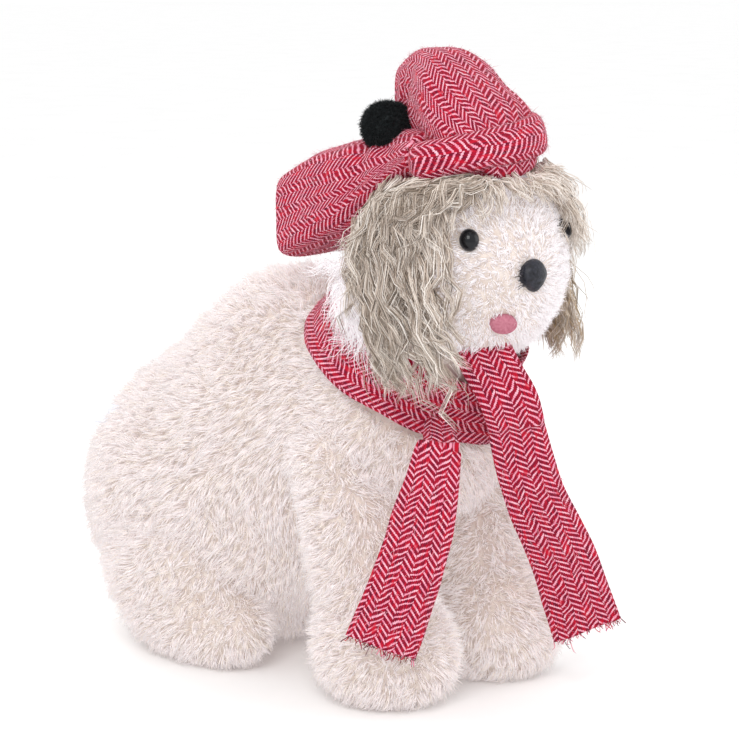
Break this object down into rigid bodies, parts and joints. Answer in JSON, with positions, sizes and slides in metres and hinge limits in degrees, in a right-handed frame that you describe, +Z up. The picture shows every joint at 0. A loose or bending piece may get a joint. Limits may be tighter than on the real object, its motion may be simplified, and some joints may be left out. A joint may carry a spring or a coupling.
{
  "type": "plush dog",
  "caption": "Crouching white plush dog with a round face, long curled grey ears, a puffed herringbone beret with a pom-pom, and a crossed herringbone scarf.",
  "frame": {"origin": "on the ground, under the middle of the outer box", "axes": "+Z up; the dog faces -Y and its left is +X"},
  "size_m": [0.1594, 0.2976, 0.287],
  "materials": {
    "plush": "long white plush pile, matt",
    "stuffing": "loose polyester fibre",
    "hair": "long curled grey-beige faux hair",
    "herringbone": "woven red and pale pink herringbone wool, raw frayed edges",
    "bead": "glossy black",
    "washer": "natural white",
    "nose": "black flock with stray fibres",
    "tongue": "pink felt",
    "pom_pom": "dense black pile",
    "thread": "black sewing thread",
    "label": "white satin ribbon, blank"
  },
  "bodies": {
    "torso": {"torso_skin": "plush", "torso_stuffing": "stuffing", "hind_leg_R": "plush", "hind_leg_L": "plush", "hind_leg_stuffing_R": "stuffing", "hind_leg_stuffing_L": "stuffing", "scarf_loop": "herringbone", "scarf_fold_L": "herringbone", "scarf_fold_R": "herringbone", "sewn_label": "label"},
    "neck": {"neck_gusset": "plush", "neck_core": "stuffing"},
    "head": {"head_skin": "plush", "head_stuffing": "stuffing", "nose": "nose", "nose_washer": "washer", "eye_R": "bead", "eye_L": "bead", "eye_washer_R": "washer", "eye_washer_L": "washer", "tongue": "tongue", "forehead_hair": "hair", "beret_crown": "herringbone", "beret_wadding": "stuffing", "beret_band": "herringbone", "pom_pom": "pom_pom", "pom_pom_stitch": "thread"},
    "ear_flap_R": {"ear_R": "hair"},
    "ear_flap_L": {"ear_L": "hair"},
    "foreleg_R": {"front_leg_R": "plush", "front_leg_stuffing_R": "stuffing"},
    "foreleg_L": {"front_leg_L": "plush", "front_leg_stuffing_L": "stuffing"},
    "tail_stub": {"tail": "plush"},
    "scarf_end_R": {"scarf_tail_R": "herringbone"},
    "scarf_end_L": {"scarf_tail_L": "herringbone"}
  },
  "joints": [
    {"name": "neck_turn", "type": "hinge", "parent": "torso", "child": "neck", "pos_m": [0, -0.09384, 0.196], "axis": [0, -0.5299, 0.848], "range_deg": [-15, 15], "stiffness_Nm_per_rad": 1.2},
    {"name": "head_nod", "type": "hinge", "parent": "neck", "child": "head", "pos_m": [0, -0.09384, 0.196], "axis": [1, 0, 0], "range_deg": [-4, 10], "stiffness_Nm_per_rad": 2.5},
    {"name": "ear_R_lift", "type": "hinge", "parent": "head", "child": "ear_flap_R", "pos_m": [-0.044, -0.09984, 0.225], "axis": [0, 1, 0], "range_deg": [0, 50]},
    {"name": "ear_L_lift", "type": "hinge", "parent": "head", "child": "ear_flap_L", "pos_m": [0.044, -0.08984, 0.225], "axis": [0, -1, 0], "range_deg": [0, 50]},
    {"name": "foreleg_R_bend", "type": "hinge", "parent": "torso", "child": "foreleg_R", "pos_m": [-0.032, -0.05384, 0.104], "axis": [1, 0, 0], "range_deg": [-3, 3], "stiffness_Nm_per_rad": 2},
    {"name": "foreleg_L_bend", "type": "hinge", "parent": "torso", "child": "foreleg_L", "pos_m": [0.032, -0.05384, 0.104], "axis": [1, 0, 0], "range_deg": [-3, 3], "stiffness_Nm_per_rad": 2},
    {"name": "tail_wag", "type": "hinge", "parent": "torso", "child": "tail_stub", "pos_m": [0, 0.12716, 0.062], "axis": [0, 0, 1], "range_deg": [-12, 12], "stiffness_Nm_per_rad": 0.05},
    {"name": "scarf_R_swing", "type": "hinge", "parent": "torso", "child": "scarf_end_R", "pos_m": [-0.0416, -0.12344, 0.1213], "axis": [-0.799, 0.5993, -0.0499], "range_deg": [0, 40]},
    {"name": "scarf_L_swing", "type": "hinge", "parent": "torso", "child": "scarf_end_L", "pos_m": [-0.0014, -0.13174, 0.1233], "axis": [-0.8602, 0.5001, -0.1], "range_deg": [0, 40]}
  ]
}
